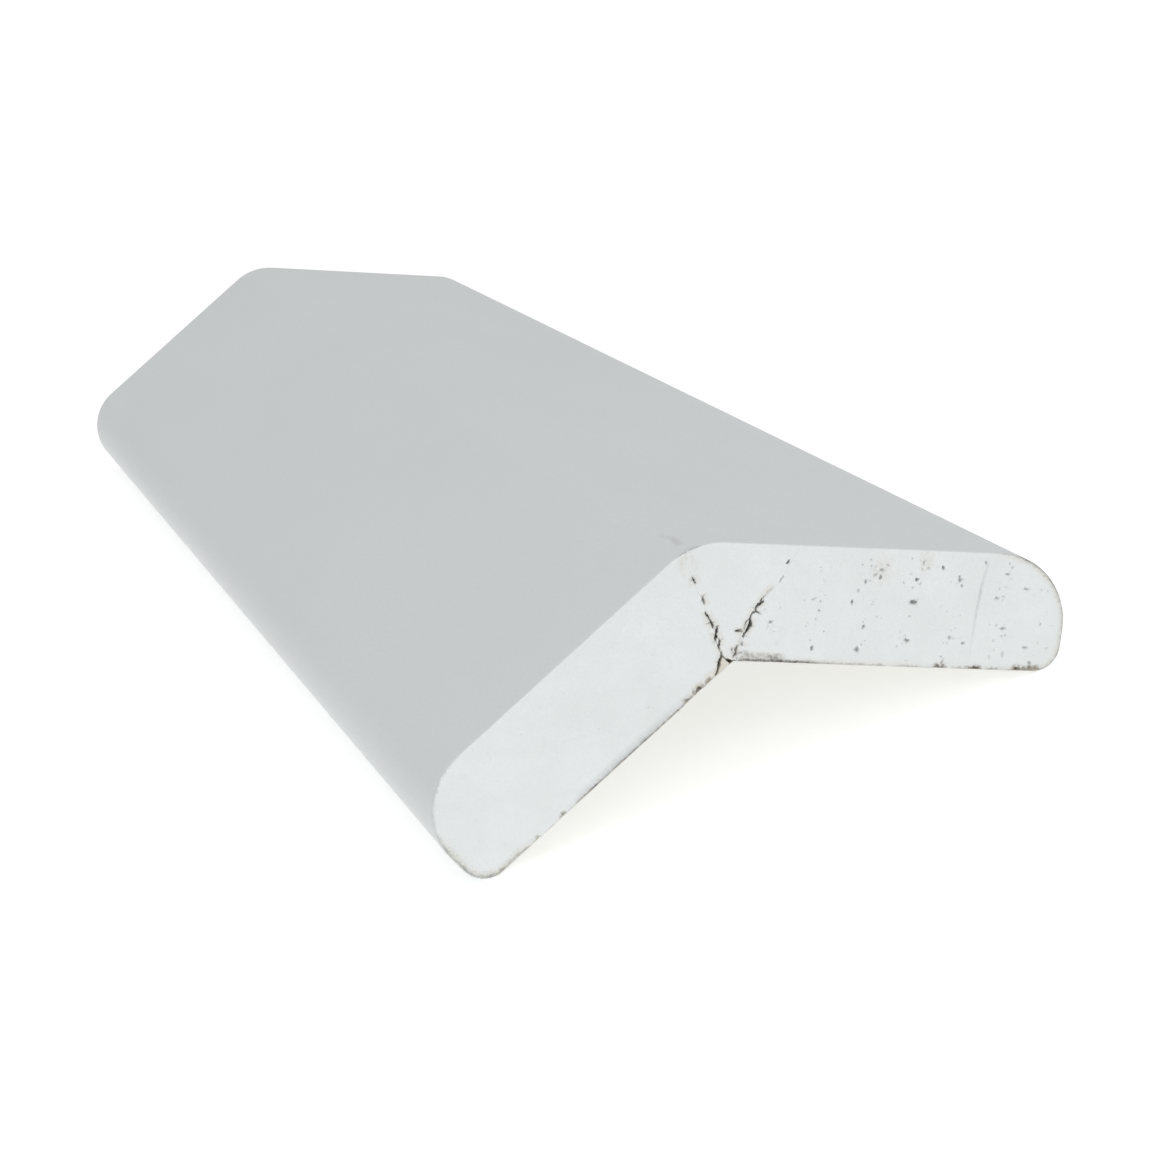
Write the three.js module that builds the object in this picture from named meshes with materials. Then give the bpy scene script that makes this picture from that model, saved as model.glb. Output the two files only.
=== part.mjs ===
// A length of outside corner moulding for a wall corner of 135 degrees, in primed pine.
//
// Two flat legs meet in a softly rounded ridge. Each leg ends in a large round, the nose, on its outer
// long edge, and a smaller one, the heel, on its back long edge. The blank is glued up from three
// staves, whose joints show on the cut ends: a left leg, a right leg, and a wedge between them that
// fills the outside corner.
//
// Millimetres. +Z is up and +Y runs along the moulding. It lies as a low tent on the back edges of its
// two legs, with the origin under the middle, on the surface that it lies on.

import * as THREE from "three";

// Driving dimensions
const LENGTH = 475; // cut length
const LEG_WIDTH = 57; // outer face of a leg, from the sharp corner of the two outer faces to its edge
const LEG_THICKNESS = 17.5;
const WALL_ANGLE = 135; // degrees between the two back faces
const RIDGE_RADIUS = 12; // round on the outside corner
const HEEL_RADIUS = 4.2; // round on the back long edge of a leg
const EDGE_FLAT = 3; // flat between the nose and the heel, as deep as this in the leg's thickness
const EDGE_SLANT = 4; // degrees by which that flat leans in towards the heel
const WEDGE_HEAD_LEFT = 2.4; // reach of the wedge along the left outer face, from the sharp corner
const WEDGE_HEAD_RIGHT = 15.9; // the same, along the right outer face
const WEDGE_FOOT_LEFT = 1.1; // reach of the wedge along the left back face, from the inner corner
const WEDGE_FOOT_RIGHT = 0.4; // the same, along the right back face
const GLUE_LINE = 0.3; // clearance between neighbouring staves

const PRIMER_COLOUR = 0xdfe3e4;
const PRIMER_ROUGHNESS = 0.55;
const ROUND_STEPS = 16; // facets on a nose or a heel
const RIDGE_STEPS = 12;

// Derived from the driving dimensions
const SLOPE = THREE.MathUtils.degToRad((180 - WALL_ANGLE) / 2); // fall of each leg from the level
const SLANT = THREE.MathUtils.degToRad(EDGE_SLANT);
const NOSE_RADIUS = LEG_THICKNESS - HEEL_RADIUS - EDGE_FLAT; // the nose takes the rest of the edge
const innerCorner = LEG_THICKNESS * Math.tan(SLOPE); // where the back faces meet, along an outer face

// A point of the right leg's section: `along` its outer face from the sharp corner, `deep` into the wood.
function onRight(along, deep) {
  return new THREE.Vector2(
    along * Math.cos(SLOPE) - deep * Math.sin(SLOPE),
    -along * Math.sin(SLOPE) - deep * Math.cos(SLOPE),
  );
}

function mirrored(point) {
  return new THREE.Vector2(-point.x, point.y);
}

function arc(centre, radius, from, to, steps) {
  return Array.from({ length: steps + 1 }, (_, i) => {
    const angle = from + ((to - from) * i) / steps;
    return new THREE.Vector2(
      centre.x + radius * Math.cos(angle),
      centre.y + radius * Math.sin(angle),
    );
  });
}

// The right leg's edge, from its outer face round the nose and the heel to its back face.
function legEdge() {
  const outward = Math.PI / 2 - SLOPE; // direction in which the outer face looks
  const flat = -SLOPE - SLANT; // direction in which the flat looks
  const noseAlong = LEG_WIDTH - NOSE_RADIUS;
  const heelAlong =
    noseAlong +
    (NOSE_RADIUS - HEEL_RADIUS - EDGE_FLAT * Math.sin(SLANT)) / Math.cos(SLANT);
  const noseCentre = onRight(noseAlong, NOSE_RADIUS);
  const heelCentre = onRight(heelAlong, LEG_THICKNESS - HEEL_RADIUS);
  return [
    ...arc(noseCentre, NOSE_RADIUS, outward, flat, ROUND_STEPS),
    ...arc(heelCentre, HEEL_RADIUS, flat, outward - Math.PI, ROUND_STEPS),
  ];
}

// The whole section, anticlockwise from the left end of the ridge's round.
function section() {
  const ridgeCentre = new THREE.Vector2(0, -RIDGE_RADIUS / Math.cos(SLOPE));
  const ridge = arc(
    ridgeCentre,
    RIDGE_RADIUS,
    Math.PI / 2 + SLOPE,
    Math.PI / 2 - SLOPE,
    RIDGE_STEPS,
  );
  const edge = legEdge();
  const clockwise = [
    ...ridge,
    ...edge,
    onRight(innerCorner, LEG_THICKNESS),
    ...edge.map(mirrored).reverse(),
  ];
  return clockwise.reverse();
}

// A joint runs from its head on the outer side to its foot on the back. Its normal points right.
function joint(head, foot) {
  const run = foot.clone().sub(head).normalize();
  return { head, normal: new THREE.Vector2(-run.y, run.x) };
}

const leftJoint = joint(
  mirrored(onRight(WEDGE_HEAD_LEFT, 0)),
  mirrored(onRight(innerCorner + WEDGE_FOOT_LEFT, LEG_THICKNESS)),
);
const rightJoint = joint(
  onRight(WEDGE_HEAD_RIGHT, 0),
  onRight(innerCorner + WEDGE_FOOT_RIGHT, LEG_THICKNESS),
);

// The part of an outline on one side of a joint (1 is right, -1 is left), half a glue line clear of it.
function trimmed(outline, { head, normal }, side) {
  const beyond = (p) =>
    side * p.clone().sub(head).dot(normal) - GLUE_LINE / 2;
  return outline.flatMap((point, i) => {
    const next = outline[(i + 1) % outline.length];
    const here = beyond(point);
    const there = beyond(next);
    const kept = here >= 0 ? [point] : [];
    if (here * there < 0) {
      kept.push(point.clone().lerp(next, here / (here - there)));
    }
    return kept;
  });
}

const primer = new THREE.MeshStandardMaterial({
  color: PRIMER_COLOUR,
  roughness: PRIMER_ROUGHNESS,
  metalness: 0,
});

// A stave of the moulding, its section run along the whole length.
function stave(name, outline) {
  const geometry = new THREE.ExtrudeGeometry(new THREE.Shape(outline), {
    depth: LENGTH,
    bevelEnabled: false,
  });
  geometry.rotateX(Math.PI / 2).translate(0, LENGTH / 2, 0);
  const mesh = new THREE.Mesh(geometry, primer);
  mesh.name = name;
  return mesh;
}

const whole = section();
const moulding = new THREE.Group();
moulding.add(
  stave("left_leg", trimmed(whole, leftJoint, -1)),
  stave("corner_wedge", trimmed(trimmed(whole, leftJoint, 1), rightJoint, -1)),
  stave("right_leg", trimmed(whole, rightJoint, 1)),
);

// Set the heels down on the surface.
moulding.position.z = -new THREE.Box3().setFromObject(moulding).min.z;

export default moulding;
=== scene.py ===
import math

import bmesh
import bpy
import numpy as np
from mathutils import Matrix, Vector, noise
from mathutils.geometry import delaunay_2d_cdt


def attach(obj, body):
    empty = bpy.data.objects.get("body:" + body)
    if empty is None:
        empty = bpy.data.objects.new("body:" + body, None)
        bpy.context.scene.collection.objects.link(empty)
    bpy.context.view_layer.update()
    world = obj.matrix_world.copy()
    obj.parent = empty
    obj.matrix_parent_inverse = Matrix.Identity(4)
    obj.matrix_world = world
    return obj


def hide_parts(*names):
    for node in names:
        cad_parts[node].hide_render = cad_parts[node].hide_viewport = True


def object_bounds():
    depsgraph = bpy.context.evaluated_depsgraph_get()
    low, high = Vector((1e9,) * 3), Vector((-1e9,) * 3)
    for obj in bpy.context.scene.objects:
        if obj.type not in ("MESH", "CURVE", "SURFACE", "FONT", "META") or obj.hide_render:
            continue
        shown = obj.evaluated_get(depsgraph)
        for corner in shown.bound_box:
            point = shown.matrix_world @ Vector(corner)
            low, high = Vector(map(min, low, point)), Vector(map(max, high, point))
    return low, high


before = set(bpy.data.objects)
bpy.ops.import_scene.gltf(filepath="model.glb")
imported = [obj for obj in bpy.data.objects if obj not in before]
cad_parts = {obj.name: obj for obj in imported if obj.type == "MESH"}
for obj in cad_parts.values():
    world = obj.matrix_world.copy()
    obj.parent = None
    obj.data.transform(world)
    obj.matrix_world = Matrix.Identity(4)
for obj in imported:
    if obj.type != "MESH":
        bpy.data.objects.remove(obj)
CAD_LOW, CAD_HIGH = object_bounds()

# A length of outside corner moulding on a pale studio floor. Each of its three glued staves is one
# closed mesh of primed pine, whose cut ends carry the wear, the pores and the open joints, with
# shade painted along the left leg's back edge and inside the joints' holes.

# Section of the moulding, in millimetres, as in the solids
LEG_WIDTH = 57.0
LEG_THICKNESS = 17.5
SLOPE = math.radians(22.5)
RIDGE_RADIUS = 12.0
HEEL_RADIUS = 4.2
EDGE_FLAT = 3.0
EDGE_SLANT = math.radians(4)
NOSE_RADIUS = LEG_THICKNESS - HEEL_RADIUS - EDGE_FLAT
WEDGE_HEAD_LEFT = 2.4
WEDGE_HEAD_RIGHT = 15.9
WEDGE_FOOT_LEFT = 1.1
WEDGE_FOOT_RIGHT = 0.4

# The right joint bows towards the wedge. It does so between these distances down from its head.
JOINT_BOW = 1.15
BOW_GROWS = (5.0, 11.5)
BOW_FADES = (13.5, 19.2)

MM = 0.001
INNER_CORNER = LEG_THICKNESS * math.tan(SLOPE)
APEX_Z = CAD_HIGH.z / MM + RIDGE_RADIUS / math.cos(SLOPE) - RIDGE_RADIUS
NEAR_END, FAR_END = CAD_LOW.y / MM, CAD_HIGH.y / MM

# How finely the meshes are cut
OUTLINE_STEP = 0.36
JOINT_STEP = 0.16
CAP_STEP = 0.34
CAP_ROW_STEP = 0.87 * CAP_STEP
CAP_JITTER = 0.06
STROKE_STEP = 0.14
RIM_ROWS = [0.13, 0.24, 0.36, 0.49, 0.63, 0.78, 0.94]  # distances from the edge of a cut end
RIM_CLEAR = 0.11  # no point of a cut end lies closer than this to its edge
PORE_RINGS = [(0.5, 6), (0.8, 9), (1.1, 10)]  # share of a pore's half size, and points round it
END_RINGS = [0, 0.1, 0.22, 0.4, 0.65, 1, 1.5, 2.2, 3, 3.8, 4.8, 5.8, 7, 8.2, 9.5, 11, 13, 16, 20, 28]
BODY_RING_STEP = 9.0
SHARP_ANGLE = math.radians(38)
ON_LINE = 1e-6  # a point this close to a joint lies on it
BACK_MARGIN = 0.2  # what lies this close to the back face, or deeper, belongs to it
INSIDE_ONLY = 1  # the triangulation's own number for keeping what lies inside an outline
MERGE_DISTANCE = 1e-7

# Kinds of surface, which are also the numbers of a stave's material slots
OUTER, BACK, JOINT, END = range(4)


def rising(low, high, value):
    """A smooth step from 0 at low to 1 at high."""
    t = np.clip((value - low) / (high - low), 0.0, 1.0)
    return t * t * (3.0 - 2.0 * t)


def falling(low, high, value):
    return 1.0 - rising(low, high, value)


def bump(distance, half):
    """1 round the middle of a stretch, falling to 0 at half its length away."""
    return falling(0.35, 1.0, np.abs(distance) / half)


def leg_point(side, along, deep):
    """A point of the section: along a leg's outer face from the apex, and deep into the wood."""
    x = along * math.cos(SLOPE) - deep * math.sin(SLOPE)
    z = APEX_Z - along * math.sin(SLOPE) - deep * math.cos(SLOPE)
    return np.array([side * x, z])


def leg_coordinates(points):
    """Side, along and deep of section points, an array of x and z."""
    side = np.where(points[:, 0] < 0, -1.0, 1.0)
    x, fall = np.abs(points[:, 0]), APEX_Z - points[:, 1]
    along = x * math.cos(SLOPE) + fall * math.sin(SLOPE)
    deep = -x * math.sin(SLOPE) + fall * math.cos(SLOPE)
    return side, along, deep


def arc(centre, radius, start, end):
    count = max(4, int(abs(end - start) * radius / OUTLINE_STEP))
    angles = np.linspace(start, end, count + 1)
    return [centre + radius * np.array([math.cos(a), math.sin(a)]) for a in angles]


def right_edge():
    """The right leg's nose and heel, from the outer face round to the back face."""
    outward = math.pi / 2 - SLOPE
    flat = -SLOPE - EDGE_SLANT
    nose_along = LEG_WIDTH - NOSE_RADIUS
    drop = NOSE_RADIUS - HEEL_RADIUS - EDGE_FLAT * math.sin(EDGE_SLANT)
    heel_along = nose_along + drop / math.cos(EDGE_SLANT)
    nose = arc(leg_point(1, nose_along, NOSE_RADIUS), NOSE_RADIUS, outward, flat)
    heel_centre = leg_point(1, heel_along, LEG_THICKNESS - HEEL_RADIUS)
    heel = arc(heel_centre, HEEL_RADIUS, flat, outward - math.pi)
    return nose + heel


def whole_section():
    """The moulding's outline as corner points, clockwise from the left end of the ridge."""
    centre = np.array([0.0, APEX_Z - RIDGE_RADIUS / math.cos(SLOPE)])
    ridge = arc(centre, RIDGE_RADIUS, math.pi / 2 + SLOPE, math.pi / 2 - SLOPE)
    right = right_edge()
    left = [p * np.array([-1, 1]) for p in reversed(right)]
    return ridge + right + [leg_point(1, INNER_CORNER, LEG_THICKNESS)] + left


def joint(head, foot):
    """A joint between staves: its head, its run down from there, and its normal."""
    run = (foot - head) / np.linalg.norm(foot - head)
    return head, run, np.array([-run[1], run[0]])


LEFT_JOINT = joint(
    leg_point(-1, WEDGE_HEAD_LEFT, 0),
    leg_point(-1, INNER_CORNER + WEDGE_FOOT_LEFT, LEG_THICKNESS),
)
RIGHT_JOINT = joint(
    leg_point(1, WEDGE_HEAD_RIGHT, 0),
    leg_point(1, INNER_CORNER + WEDGE_FOOT_RIGHT, LEG_THICKNESS),
)
JOINTS = [LEFT_JOINT, RIGHT_JOINT]
BOWED_JOINT = 1


def trimmed(outline, line, side):
    """The part of an outline on one side of a joint: 1 is right, -1 is left."""
    head, _, normal = line
    kept = []
    for here, there in zip(outline, outline[1:] + outline[:1]):
        a = side * np.dot(here - head, normal)
        b = side * np.dot(there - head, normal)
        if a >= 0:
            kept.append(here)
        if a * b < 0:
            kept.append(here + (there - here) * a / (a - b))
    return kept


def anticlockwise(polygon):
    """Whether a polygon's corners run anticlockwise."""
    after = np.roll(polygon, -1, axis=0)
    return np.sum(polygon[:, 0] * after[:, 1] - after[:, 0] * polygon[:, 1]) > 0


def joint_along(a, b):
    """The number of the joint on which the line from a to b lies, or -1."""
    found = -1
    for number, (head, _, across) in enumerate(JOINTS):
        if abs(np.dot(a - head, across)) + abs(np.dot(b - head, across)) < ON_LINE:
            found = number
    return found


def bowed(points, owners):
    """Outline points, with those on the right joint moved by its bow."""
    head, run, across = JOINTS[BOWED_JOINT]
    on_joint = owners == BOWED_JOINT
    down = (points[on_joint] - head) @ run
    bend = -JOINT_BOW * rising(*BOW_GROWS, down) * falling(*BOW_FADES, down)
    points[on_joint] += across * bend[:, None]
    return points


def refined(corners):
    """An outline cut into short steps. Returns points, outward normals, kinds and joint numbers."""
    turn = 1.0 if anticlockwise(np.array(corners)) else -1.0
    sides = []
    for a, b in zip(corners, corners[1:] + corners[:1]):
        size = np.linalg.norm(b - a)
        normal = turn * np.array([(b - a)[1], -(b - a)[0]]) / size
        sides.append((a, b, size, normal, joint_along(a, b)))
    points, normals, kinds, owners = [], [], [], []
    for before, (a, b, size, normal, owner) in zip(sides[-1:] + sides[:-1], sides):
        _, _, _, normal_before, owner_before = before
        if owner >= 0:
            corner_normal = normal_before
        elif owner_before >= 0:
            corner_normal = normal
        else:
            corner_normal = normal + normal_before
            corner_normal /= np.linalg.norm(corner_normal)
        deep = leg_coordinates(np.array([(a + b) / 2]))[2][0]
        face = BACK if deep > LEG_THICKNESS - BACK_MARGIN else OUTER
        kind = JOINT if owner >= 0 else face
        step = JOINT_STEP if owner >= 0 else OUTLINE_STEP
        pieces = max(1, int(round(size / step)))
        for k in range(pieces):
            points.append(a + (b - a) * k / pieces)
            normals.append(corner_normal if k == 0 else normal)
            kinds.append(kind)
            owners.append(owner if k > 0 else -1)
    owners = np.array(owners)
    return bowed(np.array(points), owners), np.array(normals), np.array(kinds), owners


# Wear of the cut ends, and the shade painted on them. Places are along a leg and deep into it, in
# millimetres. Darkness from dirt and painted shade, and bareness, run from 0 to 1.

# Holes, cracks and stains of the near end, as strokes whose points are x, the fall below the sharp
# corner, half the stroke's width and its darkness
NEAR_MARKS = [
    # down the left joint
    [(-2.0, 5.0, 0.15, 0.55), (-1.9, 5.5, 0.20, 0.70), (-1.8, 6.0, 0.14, 0.50)],
    [(-1.4, 8.3, 0.12, 0.35), (-1.5, 8.7, 0.18, 0.60), (-1.5, 9.3, 0.14, 0.35)],
    [(-1.8, 10.6, 0.12, 0.50), (-1.6, 11.2, 0.20, 0.80), (-1.5, 11.7, 0.15, 0.60), (-1.4, 12.1, 0.18, 0.75)],
    [(-1.4, 12.1, 0.18, 0.75), (-1.35, 12.8, 0.20, 0.75), (-1.4, 13.2, 0.14, 0.50)],
    [(-0.8, 13.3, 0.12, 0.50), (-1.0, 13.8, 0.23, 1.00), (-1.3, 14.2, 0.18, 0.85), (-1.4, 14.5, 0.23, 1.00)],
    [(-1.4, 14.5, 0.23, 1.00), (-1.6, 14.9, 0.14, 0.60)],
    [(-1.0, 15.3, 0.12, 0.50), (-1.35, 15.8, 0.21, 0.90), (-1.5, 16.2, 0.15, 0.60)],
    [(-1.4, 16.9, 0.11, 0.50), (-1.4, 17.3, 0.14, 0.60), (-1.6, 17.7, 0.17, 0.75), (-2.1, 18.3, 0.23, 0.95)],
    [(-2.1, 18.3, 0.23, 0.95), (-2.4, 18.9, 0.18, 0.80), (-2.8, 19.5, 0.17, 0.70), (-3.2, 19.9, 0.12, 0.50)],
    [(-1.4, 17.5, 0.12, 0.50), (-1.2, 17.9, 0.12, 0.55), (-0.9, 18.4, 0.18, 0.80), (-0.4, 18.9, 0.30, 1.00)],
    # down the right joint
    [(12.5, 7.6, 0.11, 0.40), (12.2, 7.85, 0.17, 0.60), (11.9, 8.0, 0.11, 0.40)],
    [(10.9, 9.6, 0.12, 0.35), (10.4, 9.9, 0.15, 0.45), (10.1, 10.2, 0.11, 0.30)],
    [(8.9, 10.7, 0.14, 0.12), (7.9, 10.9, 0.16, 0.16)],
    [(7.5, 11.3, 0.14, 0.15), (7.1, 11.5, 0.14, 0.22)],
    [(6.8, 11.6, 0.12, 0.45), (6.5, 12.1, 0.24, 0.90), (5.8, 12.4, 0.20, 0.80), (5.5, 12.7, 0.12, 0.55)],
    [(5.5, 12.7, 0.12, 0.55), (5.4, 13.0, 0.17, 0.75), (4.8, 13.1, 0.14, 0.60)],
    [(6.5, 12.2, 0.15, 0.60), (7.0, 12.1, 0.15, 0.55)],
    [(5.4, 13.0, 0.14, 0.60), (5.6, 13.3, 0.15, 0.60)],
    [(4.4, 13.5, 0.12, 0.60), (4.2, 14.0, 0.17, 0.85), (4.0, 14.6, 0.33, 1.00), (3.7, 14.9, 0.24, 0.95)],
    [(3.7, 14.9, 0.24, 0.95), (3.1, 15.4, 0.17, 0.85), (2.7, 15.6, 0.14, 0.75), (2.4, 16.0, 0.17, 0.65)],
    # splinters in the wedge beside it
    [(3.7, 13.9, 0.11, 0.30), (3.4, 14.2, 0.14, 0.42)],
    [(3.1, 14.6, 0.13, 0.24), (2.9, 14.9, 0.12, 0.20)],
    [(1.8, 14.8, 0.17, 0.65), (2.1, 14.9, 0.18, 0.70)],
    [(1.9, 16.8, 0.15, 0.50), (1.9, 17.1, 0.15, 0.45)],
    [(1.2, 16.9, 0.11, 0.45), (1.0, 17.2, 0.14, 0.50)],
    [(0.3, 17.1, 0.14, 0.35), (0.2, 17.3, 0.12, 0.30)],
    [(0.7, 17.7, 0.15, 0.60), (0.6, 17.9, 0.14, 0.55), (0.2, 18.2, 0.12, 0.50)],
    [(1.2, 18.0, 0.12, 0.30), (1.5, 18.0, 0.12, 0.35)],
    # stains at the right leg's back edge
    [(5.1, 20.0, 0.18, 0.30), (5.5, 20.2, 0.20, 0.25)],
    [(6.0, 20.6, 0.23, 0.45), (6.2, 20.7, 0.20, 0.35)],
    [(29.8, 29.8, 0.13, 0.18), (29.3, 30.2, 0.17, 0.30)],
    [(42.0, 34.8, 0.24, 0.35), (42.1, 35.0, 0.22, 0.40)],
]
MARK_DEPTH = 0.9

# The far end's holes: joint (0 is the left one, 1 the right one), start and stop down from its head,
# half width and darkness
FAR_HOLES = [
    (0, 3.0, 3.8, 0.14, 0.7), (0, 8.0, 9.6, 0.2, 0.9), (0, 12.9, 14.2, 0.18, 0.85),
    (1, 4.4, 5.6, 0.15, 0.7), (1, 9.4, 11.4, 0.26, 0.95), (1, 14.9, 16.0, 0.2, 0.85),
]
HOLE_DEPTH = 2.6
HAIRLINE = 0.004  # half the width of a joint where it shows as a line
HAIRLINE_DEPTH = 0.8

# Chips along a leg's back edge: side, middle, half length, depth, darkness
NEAR_CHIPS = [
    (1, 10.0, 2.6, 0.12, 0.5), (1, 14.0, 2.6, 0.14, 0.75), (1, 17.8, 2.2, 0.10, 0.6),
    (1, 22.5, 3.0, 0.05, 0.35), (1, 27.5, 3.5, 0.06, 0.4), (1, 33.5, 2.6, 0.05, 0.3),
    (1, 38.5, 1.3, 0.22, 0.75), (1, 41.0, 1.0, 0.10, 0.4), (1, 43.6, 1.7, 0.20, 0.8),
    (1, 46.6, 1.6, 0.10, 0.45), (1, 50.6, 1.6, 0.22, 0.7), (1, 52.8, 1.4, 0.30, 0.6),
    (-1, 11.8, 1.0, 0.28, 0.55), (-1, 13.9, 1.3, 0.42, 0.95), (-1, 16.0, 1.1, 0.30, 0.8),
    (-1, 20.0, 3.5, 0.06, 0.35), (-1, 27.5, 6.0, 0.08, 0.55), (-1, 35.5, 4.0, 0.06, 0.4),
    (-1, 40.7, 0.8, 0.24, 0.6), (-1, 45.9, 0.9, 0.20, 0.4), (-1, 49.5, 0.9, 0.12, 0.35),
]
FAR_CHIPS = [
    (1, 22.0, 1.4, 0.4, 0.7), (1, 35.5, 0.8, 0.3, 0.6), (1, 48.0, 1.2, 0.5, 0.8),
    (-1, 14.0, 1.6, 0.35, 0.7), (-1, 29.0, 1.0, 0.3, 0.6), (-1, 51.0, 1.3, 0.5, 0.8),
]

# Smudges on the ridge behind the near end: x, distance from the end, half sizes and darkness
RIDGE_SMUDGES = [(-1.1, 9.0, 0.9, 6.0, 0.19), (-1.6, 16.0, 0.8, 5.0, 0.10), (-0.6, 1.2, 2.4, 1.6, 0.10)]
RIDGE_LINE_X, RIDGE_LINE_HALF = -1.0, 3.0  # a thin line of dirt across the ridge
RIDGE_DEEP = 4.0  # the ridge lies less deep than this, and the inner corner deeper

# Pores that stand out on the near end: side, along, deep, half width, half depth, darkness
NEAR_PORES = [
    (1, 33.7, 7.8, 0.62, 0.40, 0.8), (1, 34.0, 4.4, 0.32, 0.30, 0.7), (1, 34.8, 1.9, 0.20, 0.50, 0.3),
    (1, 33.2, 13.5, 0.32, 0.26, 0.6), (1, 37.8, 2.5, 0.26, 0.42, 0.6), (1, 40.5, 4.2, 0.22, 0.50, 0.5),
    (1, 40.9, 5.1, 0.22, 0.26, 0.4), (1, 39.6, 12.8, 0.26, 0.36, 0.45), (1, 47.6, 11.2, 0.40, 0.24, 0.5),
    (1, 44.3, 1.5, 0.24, 0.42, 0.35), (1, 46.4, 6.7, 0.36, 0.26, 0.4), (1, 47.7, 3.1, 0.34, 0.22, 0.4),
    (1, 51.3, 13.9, 0.56, 0.22, 0.42), (1, 50.8, 5.2, 0.48, 0.20, 0.35), (1, 47.9, 15.0, 0.24, 0.46, 0.3),
    (1, 26.2, 5.0, 0.26, 0.30, 0.5), (1, 27.7, 3.9, 0.36, 0.24, 0.4), (1, 24.4, 8.1, 0.22, 0.42, 0.6),
    (1, 26.4, 11.6, 0.30, 0.26, 0.5), (1, 25.7, 15.1, 0.26, 0.50, 0.6), (1, 18.8, 15.2, 0.24, 0.44, 0.5),
    (1, 19.5, 9.5, 0.24, 0.22, 0.35), (1, 12.3, 11.5, 0.36, 0.24, 0.5), (1, 41.7, 13.6, 0.34, 0.22, 0.45),
    (1, 33.4, 5.6, 0.22, 0.20, 0.3), (1, 32.0, 4.9, 0.20, 0.18, 0.2), (1, 35.6, 2.6, 0.22, 0.26, 0.3),
    (1, 28.6, 3.2, 0.34, 0.30, 0.45), (1, 28.4, 4.3, 0.26, 0.34, 0.5), (1, 29.4, 2.4, 0.30, 0.22, 0.3),
    (1, 12.4, 11.5, 0.30, 0.22, 0.35), (1, 18.8, 15.1, 0.17, 0.46, 0.6),
    (-1, 21.0, 13.9, 0.30, 0.16, 0.14), (-1, 28.5, 11.2, 0.26, 0.14, 0.1), (-1, 15.5, 8.4, 0.22, 0.14, 0.1),
]
PORE_DEPTH = 0.7

# Growth rings of the right leg's stave cross it nearly square. Resin pores sit along them.
RING_FIRST = 12.4  # along the leg, at half its thickness
RING_SPACING = 6.9
RING_LEAN = -0.09  # how far along a ring moves for each millimetre down
RING_COUNT = 7
RING_SPREAD = 1.0  # of the pores to both sides of a ring
PORES_ON_A_RING = 17
LEFT_PORES = 14  # fainter ones, anywhere on the left leg

# A growth line of the right leg that shows through the primer: along, deep and darkness
GROWTH_LINE = [
    (44.6, 1.6, 0.09), (43.9, 5.0, 0.17), (43.4, 9.0, 0.16), (43.1, 12.5, 0.10), (42.9, 15.5, 0.04),
]
GROWTH_LINE_HALF = 0.19

# Where wear begins and ends on a leg
ARRIS_INSET, ARRIS_REACH = 0.10, 0.4  # of the plain arris, away from tips, back edges and chips
TIP = (LEG_WIDTH - 13, LEG_WIDTH - 6)  # along the leg, towards the nose and heel
BACK_EDGE = (LEG_THICKNESS - 1.2, LEG_THICKNESS - 0.1)  # deep, towards the back face
FACET = (6.0, 10.0)  # deep, where the rubbed facet of the left nose begins
RIGHT_LINE_FADES = (17.0, 27.0)  # along, the dark line at the right leg's back edge
# the dark line at the left leg's back edge is painted shade of its rounded underside arris
LEFT_LINE_GROWS, LEFT_LINE_FADES = (14.5, 18.0), (34.0, 44.0)  # the same, at the left leg's
NEAR_SEED, FAR_SEED = 3.7, 41.2  # of the noise that makes an end's arris uneven

# Stains inside the near end, and painted shade along the left leg's back edge
HEAD_STAIN = (-2.0, 3.0)  # x and fall of the stain at the left joint's head
BLOTS = [(28.7, 3.2, 2.1, 3.0), (35.4, 1.6, 1.7, 2.2)]  # along, deep and half sizes
BAND_DEEP, BAND_HALF, BAND_FADES = 16.6, 0.75, (13.2, 15.8)  # smeared beside the inner corner
EDGE_LINE_DEEP, EDGE_LINE_FADES = 16.9, (15.5, 23.0)  # the dark line below that band
UNDER_DEEP, UNDER_MIDDLE, UNDER_HALF = 16.2, 20.5, 4.5  # bare wood by the right leg's back edge
# painted shade of the left leg's rounded underside arris, a soft band along its back edge
UNDERSIDE_SHADE_MIDDLE, UNDERSIDE_SHADE_HALF, UNDERSIDE_SHADE_WIDTH = 27.0, 16.0, 1.7  # along the left leg's back edge
HALO_WIDTH, HALO_END = 0.6, 13  # a brown rim round each mark, as far along the legs as this
# the painted shade along the left leg's back edge lies deeper than this too
LOWER = 15.0  # stains of the back edges lie deeper than this


def section_noise(points, scale, seed):
    """Noise at section points, with scale grains to the millimetre."""
    return np.array([noise.noise(Vector((x * scale, seed, z * scale))) for x, z in points])


def growth_line():
    line = [(leg_point(1, along, deep), dark) for along, deep, dark in GROWTH_LINE]
    return [(x, APEX_Z - z, GROWTH_LINE_HALF, dark) for (x, z), dark in line]


def far_marks():
    marks = []
    for number, start, stop, half, dark in FAR_HOLES:
        head, run, _ = JOINTS[number]
        ends = [head + run * t for t in (start, stop)]
        marks.append([(x, APEX_Z - z, half, dark) for x, z in ends])
    return marks


def stroke_parts(stroke):
    """The straight parts of a stroke: start, run, half widths and darknesses."""
    for (x0, fall0, half0, dark0), (x1, fall1, half1, dark1) in zip(stroke, stroke[1:]):
        start = np.array([x0, APEX_Z - fall0])
        run = np.array([x1, APEX_Z - fall1]) - start
        yield start, run, (half0, half1), (dark0, dark1)


def between(ends, t):
    return ends[0] + (ends[1] - ends[0]) * t


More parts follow.
